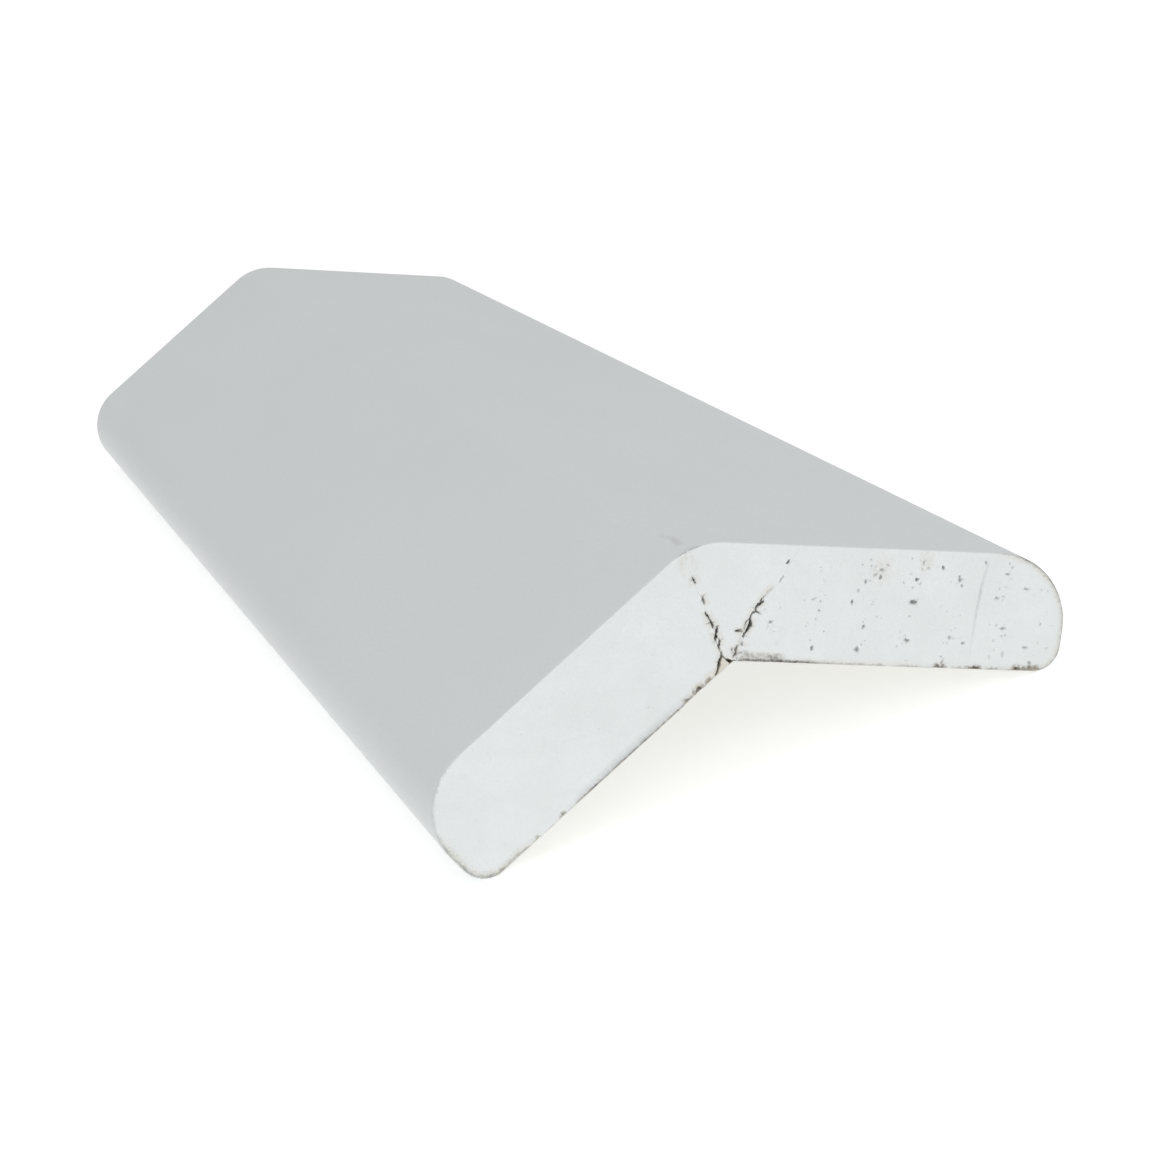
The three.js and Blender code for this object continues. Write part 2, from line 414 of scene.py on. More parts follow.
def mark_field(points, marks):
    """Depth and dirt of dark strokes at section points, and how far inside a stroke each one is."""
    depth, dirt_and_shade = np.zeros(len(points)), np.zeros(len(points))
    opening = np.full(len(points), -1.0)
    ragged = 1 + 0.5 * section_noise(points, 2.7, 7.0) + 0.3 * section_noise(points, 6.1, 3.0)
    for stroke in marks:
        for start, run, halves, darks in stroke_parts(stroke):
            t = np.clip(((points - start) @ run) / (run @ run), 0, 1)
            gap = np.linalg.norm(points - start - t[:, None] * run, axis=1) * ragged
            half, dark = between(halves, t), between(darks, t)
            depth = np.maximum(depth, MARK_DEPTH * dark * falling(0.35, 1.1, gap / half))
            dirt_and_shade = np.maximum(dirt_and_shade, dark * falling(0.3, 1.5, gap / half))
            opening = np.maximum(opening, (half - gap) * np.where(gap < half, dark**2, 1))
    return depth, dirt_and_shade, opening


def distance_to(points, polygon):
    """How far each point is from the nearest corner of a finely cut polygon."""
    best = np.full(len(points), np.inf)
    for vertex in polygon:
        best = np.minimum(best, np.hypot(points[:, 0] - vertex[0], points[:, 1] - vertex[1]))
    return best


class OutlineWear:
    """Wear round the edge of a cut end.

    inset is how far each outline point stands back at the end, and reach is the length over which
    it comes out again. Its darkness, from dirt and painted shade, and bare say how dark and how bare
    of primer it is.
    """

    def __init__(self, points, kinds, owners, end, marks):
        self.points, self.kinds = points, kinds
        self.side, self.along, self.deep = leg_coordinates(points)
        self.joined, self.outer = owners >= 0, owners < 0
        near = end == NEAR_END
        seed = NEAR_SEED if near else FAR_SEED
        self.rough = section_noise(points, 0.9, seed)
        self.fine = section_noise(points, 3.1, seed + 9)
        self.back = rising(*BACK_EDGE, self.deep) * self.outer
        self.inset = self.outer * (ARRIS_INSET + 0.04 * self.rough + 0.025 * self.fine)
        self.reach = np.full(len(points), ARRIS_REACH)
        self.wear_tips(near)
        self.wear_back_edges()
        if near:
            self.draw_back_lines()
        self.chip(NEAR_CHIPS if near else FAR_CHIPS)
        if near:
            self.draw_ridge_line()
        self.open_joints(marks)
        self.leave_room()
        self.dirt_and_shade, self.bare = np.clip(self.dirt_and_shade, 0, 1), np.clip(self.bare, 0, 1)

    def darken(self, amount):
        self.dirt_and_shade = np.maximum(self.dirt_and_shade, amount)

    def wear_tips(self, near):
        """The arris is worn further, and darker, round the noses and heels."""
        tip = rising(*TIP, self.along) * self.outer
        self.inset += tip * (0.10 + 0.06 * self.rough)
        self.dirt_and_shade = tip * (0.50 + 0.3 * self.rough)
        self.bare = 0.3 * tip
        if near:
            # The left nose is darkened less above and rubbed away in a narrow facet below
            lower = rising(*FACET, self.deep)
            self.dirt_and_shade = np.where(self.side < 0, self.dirt_and_shade * (0.35 + 0.5 * lower), self.dirt_and_shade)
            self.inset += (self.side < 0) * tip * 0.2 * lower * (1 + 0.5 * self.fine)
            self.bare = np.where(self.side < 0, self.bare * lower, self.bare)

    def wear_back_edges(self):
        self.inset += self.back * (0.03 + 0.05 * np.maximum(self.rough, 0))
        self.darken(self.back * (0.30 + 0.3 * self.rough))

    def draw_back_lines(self):
        """Dark lines run along both back edges: away from the inner corner, and in the left's middle."""
        line = self.back * (self.side > 0) * falling(*RIGHT_LINE_FADES, self.along)
        self.darken(line * (0.88 + 0.3 * self.fine))
        self.inset += 0.07 * line
        # The left line is painted shade of the leg's rounded underside arris.
        line = self.back * (self.side < 0) * rising(*LEFT_LINE_GROWS, self.along)
        line = line * falling(*LEFT_LINE_FADES, self.along)
        self.darken(line * (0.72 + 0.3 * self.fine))
        self.inset += 0.06 * line

    def chip(self, chips):
        for side, middle, half, depth, dark in chips:
            amount = bump(self.along - middle, half) * self.back * (self.side == side)
            amount = np.clip(amount * (1 + 0.5 * self.fine + 0.3 * self.rough), 0, 1.3)
            self.inset += depth * amount
            self.reach += 1.1 * depth * amount
            self.bare += 3.0 * depth * amount
            self.darken(dark * amount)

    def draw_ridge_line(self):
        line = bump(self.points[:, 0] - RIDGE_LINE_X, RIDGE_LINE_HALF)
        line = line * (self.deep < RIDGE_DEEP) * self.outer
        self.darken(line * (0.34 + 0.3 * self.fine))

    def open_joints(self, marks):
        """A joint is a hairline that opens into a hole where a mark lies over it."""
        _, mark_dirt, opening = mark_field(self.points, marks)
        open_here = 0.7 * np.clip(opening, 0, 0.4)
        self.inset += open_here * np.where(self.outer, 0.6, 1.0)
        self.darken(mark_dirt)
        self.inset += self.joined * HAIRLINE
        hole = HAIRLINE_DEPTH + HOLE_DEPTH * rising(0.0, 0.2, opening)
        self.reach = np.where(self.joined, hole, self.reach)
        self.darken(self.joined * 0.02)

    def leave_room(self):
        """By a stave's sharp corners so little is worn away that the outline never crosses itself."""
        on_joint = self.kinds == JOINT
        corners = self.points[on_joint != np.roll(on_joint, 1)]
        room = 0.04 + 0.42 * distance_to(self.points, corners)
        self.inset = np.clip(self.inset, 0, room)


def smudges(points, distance):
    """Dirt on the ridge at a distance from the near end."""
    dirt_and_shade = np.zeros(len(points))
    for x, behind, half_x, half_y, dark in RIDGE_SMUDGES:
        gap = np.hypot((points[:, 0] - x) / half_x, (distance - behind) / half_y)
        ragged = 1 + 0.8 * section_noise(points, 0.9, 0.35 * distance)
        dirt_and_shade = np.maximum(dirt_and_shade, dark * falling(0.2, 1.1, gap * ragged))
    return dirt_and_shade * (leg_coordinates(points)[2] < RIDGE_DEEP)


def inside(points, polygon):
    """Which points lie inside a polygon."""
    hit = np.zeros(len(points), dtype=bool)
    for a, b in zip(polygon, np.roll(polygon, -1, axis=0)):
        if a[1] == b[1]:
            continue
        crosses = (a[1] > points[:, 1]) != (b[1] > points[:, 1])
        at = a[0] + (points[:, 1] - a[1]) * (b[0] - a[0]) / (b[1] - a[1])
        hit ^= crosses & (points[:, 0] < at)
    return hit


def ring_pores(random):
    """Small resin pores along the growth rings of the right leg's stave, and a few in the left's."""
    pores = []
    for ring in range(RING_COUNT):
        middle = RING_FIRST + ring * RING_SPACING
        for _ in range(PORES_ON_A_RING):
            deep = random.uniform(1.0, LEG_THICKNESS - 0.9)
            along = middle + RING_LEAN * (deep - LEG_THICKNESS / 2) + random.normal(0, RING_SPREAD)
            size = 0.11 + 0.13 * random.random() ** 2
            stretch = random.uniform(0.7, 1.7)
            pores.append((1, along, deep, size, size * stretch, random.uniform(0.08, 0.3)))
    for _ in range(LEFT_PORES):
        along, deep = random.uniform(12, 52), random.uniform(2, 15)
        size = 0.09 + 0.08 * random.random()
        pores.append((-1, along, deep, size * 1.5, size, random.uniform(0.03, 0.1)))
    return pores


def pore_field(points, pores):
    """Depth and dirt of the pores at section points."""
    depth, dirt_and_shade = np.zeros(len(points)), np.zeros(len(points))
    side, along, deep = leg_coordinates(points)
    ragged = 1 + 0.7 * section_noise(points, 3.3, 5.0)
    for pore_side, a, d, half_a, half_d, dark in pores:
        q = np.hypot((along - a) / half_a, (deep - d) / half_d) * ragged
        q = np.where(side == pore_side, q, np.inf)
        depth = np.maximum(depth, PORE_DEPTH * dark * falling(0.3, 1.05, q))
        dirt_and_shade = np.maximum(dirt_and_shade, 0.85 * dark * falling(0.2, 1.35, q))
    return depth, dirt_and_shade


def pore_points(side, along, deep, half_along, half_deep):
    """Mesh points at a pore's middle and in rings round it."""
    made = [leg_point(side, along, deep)]
    for q, count in PORE_RINGS:
        for k in range(count):
            t = 2 * math.pi * (k + q) / count
            shift_along, shift_deep = q * half_along * math.cos(t), q * half_deep * math.sin(t)
            made.append(leg_point(side, along + shift_along, deep + shift_deep))
    return made


def stroke_points(stroke):
    """Mesh points along a stroke and across it."""
    made = []
    for start, run, halves, _ in stroke_parts(stroke):
        size = np.linalg.norm(run)
        across = np.array([-run[1], run[0]]) / size
        for t in np.arange(0.0, 1.0, STROKE_STEP / size):
            for shift in (-1.5, -1.0, -0.5, 0.0, 0.5, 1.0, 1.5):
                made.append(start + run * t + across * between(halves, t) * shift)
    return made


def rim_points(outline):
    """Mesh points in rows just inside an outline, but none along its shorter steps."""
    run = np.roll(outline, -1, axis=0) - outline
    size = np.linalg.norm(run, axis=1)
    inward = np.stack([-run[:, 1], run[:, 0]], axis=1) / size[:, None]
    if not anticlockwise(outline):
        inward = -inward
    made = []
    for number, gap in enumerate(RIM_ROWS):
        for part in (0.25, 0.75) if number % 2 else (0.0, 0.5):
            made.append((outline + run * part + inward * gap)[size > 0.8 * OUTLINE_STEP])
    return np.concatenate(made)


def cap_grid(outline, random):
    """Slightly uneven rows of points over an outline's box."""
    low, high = outline.min(axis=0), outline.max(axis=0)
    grid = []
    for i, z in enumerate(np.arange(low[1], high[1], CAP_ROW_STEP)):
        xs = np.arange(low[0] + (i % 2) * CAP_STEP / 2, high[0], CAP_STEP)
        grid.append(np.stack([xs, np.full(len(xs), z)], axis=1))
    grid = np.concatenate(grid)
    return grid + random.uniform(-CAP_JITTER, CAP_JITTER, grid.shape)


def cap_points(outline, grid, pores, marks):
    """Points inside an outline, dense round pores, marks and the rim, with their gaps to its edge."""
    dense = []
    for side, along, deep, half_along, half_deep, _ in pores:
        dense.extend(pore_points(side, along, deep, half_along, half_deep))
        gap = np.hypot(*(grid - leg_point(side, along, deep)).T)
        grid = grid[gap >= 1.2 * max(half_along, half_deep)]
    grid = grid[mark_field(grid, marks)[2] < -0.16]
    for stroke in marks:
        dense.extend(stroke_points(stroke))
    grid = grid[distance_to(grid, outline) > RIM_ROWS[-1] + 0.1]
    points = np.concatenate([grid, rim_points(outline), np.array(dense)])
    points = points[inside(points, outline)]
    gap = distance_to(points, outline)
    return points[gap > RIM_CLEAR], gap[gap > RIM_CLEAR]


class CapWear:
    """Wear of the points inside a cut end: their depth, dirt and painted shade, bareness of primer and old
    glue.
    """

    def __init__(self, points, gap, pores, marks, near):
        self.gap = gap
        self.x, self.fall = points[:, 0], APEX_Z - points[:, 1]
        self.side, self.along, self.deep = leg_coordinates(points)
        self.left, self.right = self.side < 0, self.side > 0
        self.tip = rising(*TIP, self.along)
        pore_depth, pore_dirt = pore_field(points, pores)
        mark_depth, mark_dirt, opening = mark_field(points, marks)
        self.depth = np.maximum(pore_depth, mark_depth) * rising(0.0, 0.25, gap)
        self.dirt_and_shade = np.maximum(pore_dirt, mark_dirt)
        self.bare = 0.45 * self.tip * falling(0.2, 0.9, gap)
        self.glue = np.zeros(len(points))
        # 1 on the right leg and on the rubbed facet of the left nose, and 0 above that
        self.not_upper_left = np.where(self.left, rising(*FACET, self.deep), 1.0)
        if near:
            self.bare = self.bare * self.not_upper_left
        self.strip(0.42 * falling(0.0, HALO_WIDTH, -opening) * (self.along < HALO_END))
        if near:
            self.ragged = section_noise(points, 1.7, 12.0)
            self.spots = section_noise(points, 3.4, 31.0)
            self.lay_old_glue()
            self.stain_heads()
            self.smear_band()
            self.line_back_edges()
            self.stain_chips()
            self.wear_brim()
        self.dirt_and_shade, self.bare = np.clip(self.dirt_and_shade, 0, 1), np.clip(self.bare, 0, 1)

    def darken(self, amount):
        self.dirt_and_shade = np.maximum(self.dirt_and_shade, amount)

    def strip(self, amount):
        self.bare = np.maximum(self.bare, amount)

    def lay_old_glue(self):
        """Old glue shows in the broken corner under the left joint."""
        sliver = rising(17.3, 18.0, self.fall + 0.35 * self.x + 0.4) * (self.x < -0.5)
        beside = rising(-0.1, 0.1, self.x + 1.4 + 0.69 * (self.fall - 17.3))
        strip = rising(16.0, 16.5, self.deep + 0.5 * self.spots) * falling(13.5, 15.5, self.along)
        self.glue = 0.85 * sliver * np.maximum(beside, strip)

    def stain_heads(self):
        """A stain at the left joint's head and brown blots below the right leg's outer face."""
        x, fall = HEAD_STAIN
        head = falling(0.8, 1.9, np.hypot(self.x - x, (self.fall - fall) * 0.7))
        self.strip(0.36 * head * (0.8 + 1.4 * self.ragged + self.spots))
        for middle, middle_deep, half, half_deep in BLOTS:
            blot = np.hypot((self.along - middle) / half, (self.deep - middle_deep) / half_deep)
            blot = self.right * falling(0.1, 1.0, blot * (1 + 0.8 * self.ragged))
            self.strip(0.34 * blot * (0.8 + 1.5 * self.spots))

    def smear_band(self):
        """A smeared band over the right leg's back edge, with a dark line along the edge itself."""
        band = self.right * bump(self.deep - BAND_DEEP, BAND_HALF) * falling(*BAND_FADES, self.along)
        self.darken(band * (0.27 + 0.30 * self.ragged + 0.22 * self.spots))
        self.strip(0.45 * band)
        line = self.right * (self.deep > EDGE_LINE_DEEP) * falling(*EDGE_LINE_FADES, self.along)
        line = line * falling(0.12, 0.34, self.gap)
        self.darken(line * (0.72 + 0.3 * self.ragged))

    def line_back_edges(self):
        """Bare wood and a warm tinge along the right leg's back edge, and painted shade of the rounded
        underside arris along the left's.
        """
        under = self.right * (self.deep > UNDER_DEEP) * bump(self.along - UNDER_MIDDLE, UNDER_HALF)
        self.strip(0.5 * under * falling(0.2, 0.7, self.gap))
        tinge = self.right * (self.deep > LOWER) * falling(0.1, 1.1, self.gap)
        self.strip(0.22 * tinge * (1 + self.spots))
        # Painted shade of the left leg's rounded underside arris, darkest at the edge and fading inwards
        underside_shade = self.left * (self.deep > LOWER) * bump(self.along - UNDERSIDE_SHADE_MIDDLE, UNDERSIDE_SHADE_HALF)
        fade = falling(0.0, UNDERSIDE_SHADE_WIDTH, self.gap) + 0.8 * falling(0.05, 0.4, self.gap)
        self.darken(underside_shade * fade * (0.24 + 0.08 * self.ragged))

    def stain_chips(self):
        blotch = rising(-0.25, 0.15, self.ragged + 0.8 * self.spots)
        for side, middle, half, depth, dark in NEAR_CHIPS:
            darkening = (self.side == side) * (self.deep > LOWER) * bump(self.along - middle, half * 1.1)
            darkening = darkening * falling(0.06, 0.25 + 1.6 * depth, self.gap)
            self.darken(dark * darkening * (0.22 + 0.9 * blotch))
            self.strip(3.2 * depth * darkening * (0.8 + self.ragged))

    def wear_brim(self):
        """The brim of the noses and heels is darker, and the left's facet is speckled further in."""
        brim = self.tip * falling(0.0, 0.42, self.gap)
        self.darken(0.24 * brim * (1 + self.ragged + self.spots))
        self.strip(0.5 * (brim * self.not_upper_left) * (0.7 + 1.2 * self.spots))
        facet = self.left * self.tip * rising(*FACET, self.deep) * falling(0.3, 1.3, self.gap)
        self.strip(0.30 * facet * (0.7 + 2.2 * self.spots + 0.8 * self.ragged))
        self.darken(0.45 * facet * (self.spots - 0.05))


def stations():
    """Places along the length where the section is repeated."""
    start = [NEAR_END + d for d in END_RINGS]
    stop = [FAR_END - d for d in reversed(END_RINGS)]
    count = int((stop[0] - start[-1]) / BODY_RING_STEP)
    middle = list(np.linspace(start[-1], stop[0], count + 1)[1:-1])
    return np.array(start + middle + stop)


class Stave:
    """One stave as a closed mesh in the making: vertices in millimetres, faces, slots and wear."""

    def __init__(self, name, corners):
        self.name = name
        self.outline, self.normals, self.kinds, self.owners = refined(corners)
        self.count = len(self.outline)
        self.verts, self.faces, self.slots = [], [], []
        self.dirt_and_shade, self.bare, self.glue = [], [], []

    def add_verts(self, verts, dirt_and_shade, bare, glue):
        self.verts.extend(verts)
        self.dirt_and_shade.extend(dirt_and_shade)
        self.bare.extend(bare)
        self.glue.extend(glue)

    def add_ring(self, y, wear):
        """The outline at y, worn as far as the wear of the two ends reaches."""
        ring = self.outline.copy()
        dirt_and_shade, bare = np.zeros(self.count), np.zeros(self.count)
        for end, worn_edge in wear.items():
            fade = np.clip(1 - abs(y - end) / worn_edge.reach, 0, 1) ** 2
            ring -= self.normals * (worn_edge.inset * fade)[:, None]
            soft = np.clip(1.35 - abs(y - end) / worn_edge.reach, 0, 1)
            dirt_and_shade = np.maximum(dirt_and_shade, worn_edge.dirt_and_shade * soft)
            bare = np.maximum(bare, worn_edge.bare * soft)
        dirt_and_shade = np.maximum(dirt_and_shade, smudges(self.outline, y - NEAR_END))
        self.add_verts([(x, y, z) for x, z in ring], dirt_and_shade, bare, np.zeros(self.count))

    def add_sides(self, ring_count):
        for j in range(ring_count - 1):
            for i in range(self.count):
                k = (i + 1) % self.count
                a = j * self.count
                b = a + self.count
                self.faces.append((a + i, a + k, b + k, b + i))
                self.slots.append(int(self.kinds[i]))

    def add_cap(self, end, first, random, marks):
        """Closes an end, whose ring's vertices begin at first."""
        near = end == NEAR_END
        edge = np.array([(x, z) for x, _, z in self.verts[first:first + self.count]])
        grid = cap_grid(edge, random)
        pores = ring_pores(random) + (NEAR_PORES if near else [])
        points, gap = cap_points(edge, grid, pores, marks)
        wear = CapWear(points, gap, pores, marks, near)
        inward = 1 if near else -1
        start = len(self.verts)
        verts = [(x, end + inward * d, z) for (x, z), d in zip(points, wear.depth)]
        self.add_verts(verts, wear.dirt_and_shade, wear.bare, wear.glue)
        for triangle in self.triangulated(edge, points):
            at = [first + v if v < self.count else start + v - self.count for v in triangle]
            self.faces.append(tuple(at))
            self.slots.append(END)

    def triangulated(self, edge, points):
        """Triangles over a rim and the points inside it, as numbers into the two together."""
        flat = [Vector(p) for p in np.concatenate([edge, points])]
        rim = list(range(self.count))
        if not anticlockwise(edge):
            rim.reverse()
        found = delaunay_2d_cdt(flat, [], [rim], INSIDE_ONLY, MERGE_DISTANCE, True)
        places, _, triangles, sources, _, within = found
        lost = [tuple(place) for place, ids in zip(places, sources) if not ids]
        if lost:
            raise ValueError(f"{self.name}: the worn outline crosses itself at {lost[:4]}")
        kept = [triangle for triangle, rims in zip(triangles, within) if rims]
        return [[sources[v][0] for v in triangle] for triangle in kept]

    def to_object(self, grain, finishes):
        coordinates = np.array(self.verts)
        mesh = bpy.data.meshes.new(self.name)
        mesh.from_pydata((coordinates * MM).tolist(), [], self.faces)
        for finish in finishes:
            mesh.materials.append(finish)
        mesh.polygons.foreach_set("material_index", self.slots)
        rings = coordinates[:, [0, 2]] @ np.array(grain)
        # The darkness attribute holds dirt together with the painted shade of the left leg's back edge.
        fields = {"dirt_and_shade": self.dirt_and_shade, "bare": self.bare, "glue": self.glue, "rings": rings}
        for label, values in fields.items():
            layer = mesh.attributes.new(label, "FLOAT", "POINT")
            layer.data.foreach_set("value", np.array(values, dtype=np.float32))
        piece = bpy.data.objects.new(self.name, mesh)
        bpy.context.scene.collection.objects.link(piece)
        tidy_normals(mesh)
        return piece


def tidy_normals(mesh):
    work = bmesh.new()
    work.from_mesh(mesh)
    bmesh.ops.recalc_face_normals(work, faces=work.faces)
    work.to_mesh(mesh)
    work.free()
    mesh.shade_smooth()
    mesh.set_sharp_from_angle(angle=SHARP_ANGLE)


def stave(name, corners, grain, seed, finishes):
    """A stave as one closed mesh, with its two worn ends. grain gives its growth rings' direction."""
    random = np.random.default_rng(seed)
    made = Stave(name, corners)
    marks = {NEAR_END: NEAR_MARKS + [growth_line()], FAR_END: far_marks()}
    wear = {
        end: OutlineWear(made.outline, made.kinds, made.owners, end, marks[end]) for end in marks
    }
    ys = stations()
    for y in ys:
        made.add_ring(y, wear)
    made.add_sides(len(ys))
    made.add_cap(NEAR_END, 0, random, marks[NEAR_END])
    made.add_cap(FAR_END, (len(ys) - 1) * made.count, random, marks[FAR_END])
    return made.to_object(grain, finishes)


# Materials

PRIMER = (0.800, 0.832, 0.832)
PRIMER_SHADE = (0.765, 0.795, 0.792)
BARE_PINE = (0.42, 0.31, 0.18)
PALE_PINE = (0.67, 0.61, 0.48)
# The near-black brown below serves dirt and painted shade; with the dark glue colour it paints the shade
# inside the joints' holes.
GRIME_AND_SHADE = (0.055, 0.042, 0.034)
DARK_GLUE_AND_SHADE = (0.13, 0.095, 0.07)
OLD_GLUE = (0.70, 0.65, 0.54)
FLOOR_SHADE = (0.93, 0.93, 0.93)
FLOOR_WHITE = (0.95, 0.95, 0.95)
FLOOR_GLOW = 0.37
SHEEN = 0.35  # specular level of all of them


class Nodes:
    """A material's node tree, with short names for the nodes that the materials here use."""

    def __init__(self, name):
        self.material = bpy.data.materials.new(name)
        self.material.use_nodes = True
        self.tree = self.material.node_tree
        self.shader = self.tree.nodes["Principled BSDF"]
        self.place = self.add("ShaderNodeTexCoord").outputs["Object"]

    def add(self, kind, **settings):
        node = self.tree.nodes.new(kind)
        for key, value in settings.items():
            setattr(node, key, value)
        return node

    def link(self, source, target):
        if isinstance(source, (int, float)):
            target.default_value = source
        else:
            self.tree.links.new(source, target)

    def attribute(self, name):
        return self.add("ShaderNodeAttribute", attribute_name=name).outputs["Fac"]

    def math(self, operation, a, b=0.0):
        node = self.add("ShaderNodeMath", operation=operation)
        self.link(a, node.inputs[0])
        self.link(b, node.inputs[1])
        return node.outputs[0]

    def noise(self, stretch, detail=3.0, rough=0.55, warp=0.0):
        """Noise whose grains are stretch = (x, y, z) millimetres across."""
        mapping = self.add("ShaderNodeMapping")
        mapping.inputs["Scale"].default_value = [1 / (s * MM) for s in stretch]
        self.link(self.place, mapping.inputs["Vector"])
        node = self.add("ShaderNodeTexNoise")
        node.inputs["Scale"].default_value = 1.0
        node.inputs["Detail"].default_value = detail
        node.inputs["Roughness"].default_value = rough
        node.inputs["Distortion"].default_value = warp
        self.link(mapping.outputs[0], node.inputs["Vector"])
        return node.outputs["Fac"]

    def spread(self, value, low, high, to_low=0.0, to_high=1.0):
        node = self.add("ShaderNodeMapRange")
        node.inputs["From Min"].default_value = low
        node.inputs["From Max"].default_value = high
        node.inputs["To Min"].default_value = to_low
        node.inputs["To Max"].default_value = to_high
        self.link(value, node.inputs["Value"])
        return node.outputs["Result"]

    def blend(self, factor, a, b):
        node = self.add("ShaderNodeMix", data_type="RGBA")
        self.link(factor, node.inputs["Factor"])
        for value, socket in ((a, node.inputs["A"]), (b, node.inputs["B"])):
            if isinstance(value, tuple):
                socket.default_value = (*value, 1)
            else:
                self.link(value, socket)
        return node.outputs["Result"]

    def bump(self, height, distance, strength=1.0, after=None):
        """Relief of distance millimetres."""
        node = self.add("ShaderNodeBump")
        node.inputs["Strength"].default_value = strength
        node.inputs["Distance"].default_value = distance * MM
        self.link(height, node.inputs["Height"])
        if after:
            self.link(after, node.inputs["Normal"])
        return node.outputs["Normal"]

    def finish(self, colour, roughness, normal):
        self.link(colour, self.shader.inputs["Base Color"])
        self.link(roughness, self.shader.inputs["Roughness"])
        self.link(normal, self.shader.inputs["Normal"])
        self.shader.inputs["Specular IOR Level"].default_value = SHEEN
        return self.material


def worn(nodes, colour):
    """Lays the wear that the mesh carries over a colour: glue, bare wood and then dirt and painted shade."""
    speckle = nodes.noise((0.5, 0.5, 0.5), detail=4.0, rough=0.7)
    coarse = nodes.noise((1.6, 1.6, 1.6), detail=3.0)
    glue = nodes.math("MULTIPLY", nodes.attribute("glue"), nodes.spread(coarse, 0.3, 0.62))
    bare = nodes.math("MULTIPLY", nodes.attribute("bare"), nodes.spread(speckle, 0.32, 0.6))
    wood = nodes.blend(nodes.spread(speckle, 0.35, 0.65), BARE_PINE, PALE_PINE)
    colour = nodes.blend(glue, colour, OLD_GLUE)
    colour = nodes.blend(bare, colour, wood)
    # Dirt and painted shade both darken the colour towards the same near-black brown
    dirt_and_shade = nodes.attribute("dirt_and_shade")
    uneven = nodes.math("MULTIPLY", dirt_and_shade, nodes.spread(speckle, 0.3, 0.7, 0.55, 1.25))
    darkening = nodes.spread(uneven, 0.03, 0.95)
    return nodes.blend(darkening, colour, GRIME_AND_SHADE)


def primer(name, thin):
    """Sprayed white primer on planed pine. thin lets the wood show through, as on the backs."""
    nodes = Nodes(name)
    cloud = nodes.noise((34, 90, 34), detail=4.0)
    grain = nodes.noise((0.9, 46, 0.9), detail=5.0, rough=0.6, warp=0.4)
    peel = nodes.noise((0.75, 0.75, 0.75), detail=2.0)
    nap = nodes.noise((0.36, 1.3, 0.36), detail=3.0, rough=0.65)
    colour = nodes.blend(nodes.spread(cloud, 0.3, 0.7), PRIMER_SHADE, PRIMER)
    colour = nodes.blend(nodes.spread(nap, 0.38, 0.62), colour, PRIMER_SHADE)
    streak = nodes.spread(grain, 0.40, 0.62, 0.0, 0.10 + 0.5 * thin)
    colour = nodes.blend(streak, colour, PALE_PINE if thin else PRIMER_SHADE)
    if thin:
        patch = nodes.noise((9, 60, 9), detail=5.0, rough=0.65)
        colour = nodes.blend(nodes.spread(patch, 0.5, 0.7, 0.0, 0.6), colour, PALE_PINE)
    colour = worn(nodes, colour)
    roughness = nodes.spread(peel, 0.3, 0.7, 0.50, 0.62)
    normal = nodes.bump(grain, 0.045, 0.55)
    normal = nodes.bump(peel, 0.040, 0.7, after=normal)
    normal = nodes.bump(nap, 0.030, 0.8, after=normal)
    return nodes.finish(colour, roughness, normal)


def joint_face():
    """The staves' planed and glued sides, seen only in the holes of the joints. Their colour is dark glue
    and bare wood, painted near-black with the shade inside the holes.
    """
    nodes = Nodes("glued_pine_painted_shade")
    grain = nodes.noise((0.6, 30, 0.6), detail=4.0)
    colour = nodes.blend(nodes.spread(grain, 0.35, 0.65), GRIME_AND_SHADE, DARK_GLUE_AND_SHADE)
    return nodes.finish(colour, 0.8, nodes.bump(grain, 0.05, 0.6))


def sawn_end():
    """End grain, cross-cut by a saw and primed. The mesh's rings attribute is in millimetres."""
    nodes = Nodes("primed_end_grain")
    rings = nodes.attribute("rings")
    wobble = nodes.noise((7, 7, 7), detail=3.0)
    phase = nodes.math("ADD", nodes.math("MULTIPLY", rings, 0.91), nodes.math("MULTIPLY", wobble, 2.6))
    late = nodes.spread(nodes.math("SINE", phase), 0.55, 1.0)
    cells = nodes.noise((0.16, 0.16, 0.16), detail=2.0, rough=0.7)
    fuzz = nodes.noise((0.55, 0.55, 0.55), detail=4.0, rough=0.7)
    saw = nodes.noise((0.35, 5, 16), detail=2.0, warp=0.2)
    cloud = nodes.noise((10, 10, 10), detail=3.0)
    colour = nodes.blend(nodes.spread(cloud, 0.35, 0.65), PRIMER_SHADE, PRIMER)
    colour = nodes.blend(nodes.math("MULTIPLY", late, 0.35), colour, PRIMER_SHADE)
    colour = nodes.blend(nodes.spread(fuzz, 0.52, 0.70, 0.0, 0.85), colour, PRIMER_SHADE)
    colour = worn(nodes, colour)
    roughness = nodes.spread(fuzz, 0.3, 0.7, 0.62, 0.8)
    normal = nodes.bump(cells, 0.05, 0.7)
    normal = nodes.bump(fuzz, 0.13, 0.8, after=normal)
    normal = nodes.bump(saw, 0.03, 0.5, after=normal)
    normal = nodes.bump(late, 0.03, 0.5, after=normal)
    return nodes.finish(colour, roughness, normal)


def floor_finish():
    """A pale matt floor that glows a little, so that it stays white round the object."""
    nodes = Nodes("studio_floor")
    cloud = nodes.noise((400, 400, 400), detail=2.0)
    colour = nodes.blend(cloud, FLOOR_SHADE, FLOOR_WHITE)
    nodes.shader.inputs["Emission Color"].default_value = (1, 1, 1, 1)
    nodes.shader.inputs["Emission Strength"].default_value = FLOOR_GLOW
    grit = nodes.noise((3, 3, 3), detail=3.0)
    return nodes.finish(colour, 0.9, nodes.bump(grit, 0.02, 0.2))


# Studio, in metres

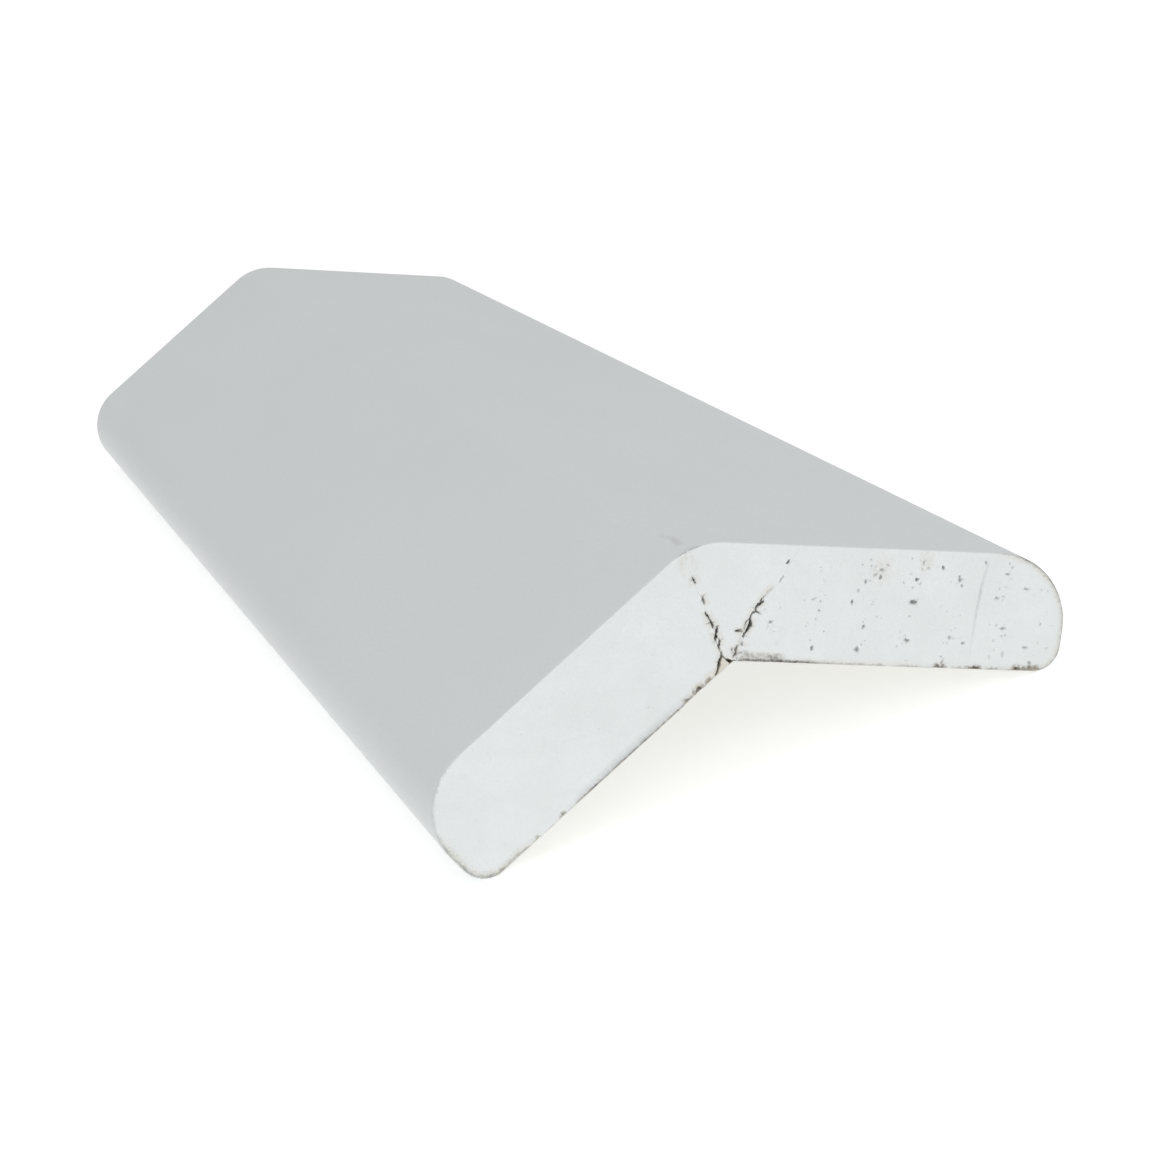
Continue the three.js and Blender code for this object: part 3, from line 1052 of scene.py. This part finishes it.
SKY_STRENGTH = 0.36
FRONT_POWER = 12.5
FRONT_PLACE = (-0.1, -2.4, 1.0)
FRONT_SIZE = (2.2, 1.6)
SUN_STRENGTH = 1.08
SUN_FROM = (0.15, -0.4, 3.0)
SUN_WIDTH = math.radians(70)
FLOOR_SIZE = 60
CAMERA_LENS = 142.0
SENSOR_WIDTH = 36
CAMERA_CLIP = (0.05, 60)
CAMERA_PLACE = (-0.11152, -0.87243, 0.17482)
CAMERA_HEADING = math.radians(-8.378)
CAMERA_PITCH = math.radians(12.06)
CAMERA_ROLL = math.radians(-18.541)


def camera():
    data = bpy.data.cameras.new("camera")
    data.lens = CAMERA_LENS
    data.sensor_width = SENSOR_WIDTH
    data.clip_start, data.clip_end = CAMERA_CLIP
    view = bpy.data.objects.new("camera", data)
    bpy.context.scene.collection.objects.link(view)
    turn = Matrix.Rotation(CAMERA_HEADING, 4, "Z")
    tilt = Matrix.Rotation(math.pi / 2 - CAMERA_PITCH, 4, "X")
    roll = Matrix.Rotation(CAMERA_ROLL, 4, "Z")
    view.matrix_world = Matrix.Translation(CAMERA_PLACE) @ turn @ tilt @ roll
    bpy.context.scene.camera = view


def lamp(data, place, towards):
    """A lamp at a place that shines along a direction."""
    made = bpy.data.objects.new(data.name, data)
    made.location = place
    made.rotation_euler = Vector(towards).to_track_quat("-Z", "Y").to_euler()
    bpy.context.scene.collection.objects.link(made)


def front_light():
    data = bpy.data.lights.new("front", "AREA")
    data.shape = "RECTANGLE"
    data.size, data.size_y = FRONT_SIZE
    data.energy = FRONT_POWER
    lamp(data, FRONT_PLACE, -Vector(FRONT_PLACE))


def soft_sun():
    """An even light from above, with soft shadows."""
    data = bpy.data.lights.new("top", "SUN")
    data.angle = SUN_WIDTH
    data.energy = SUN_STRENGTH
    lamp(data, (0, 0, 0), -Vector(SUN_FROM))


def studio():
    world = bpy.data.worlds.new("studio")
    world.use_nodes = True
    sky = world.node_tree.nodes["Background"]
    sky.inputs["Color"].default_value = (1, 1, 1, 1)
    sky.inputs["Strength"].default_value = SKY_STRENGTH
    bpy.context.scene.world = world
    front_light()
    soft_sun()
    bpy.ops.mesh.primitive_plane_add(size=FLOOR_SIZE)
    floor = bpy.context.object
    floor.name = "floor"
    floor.data.materials.append(floor_finish())
    bpy.context.scene.view_settings.view_transform = "Standard"


def main():
    camera()
    section = whole_section()
    left = trimmed(section, LEFT_JOINT, -1)
    middle = trimmed(trimmed(section, LEFT_JOINT, 1), RIGHT_JOINT, -1)
    right = trimmed(section, RIGHT_JOINT, 1)
    # in the order of a stave's material slots
    finishes = [primer("white_primer", 0.0), primer("thin_primer", 1.0), joint_face(), sawn_end()]
    for node, corners, grain, seed in (
        ("left_leg", left, (0.25, 0.97), 11),
        ("corner_wedge", middle, (0.8, 0.6), 23),
        ("right_leg", right, (0.92, -0.38), 37),
    ):
        piece = stave(node + "_wood", corners, grain, seed, finishes)
        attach(piece, "root")
        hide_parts(node)
    studio()


main()
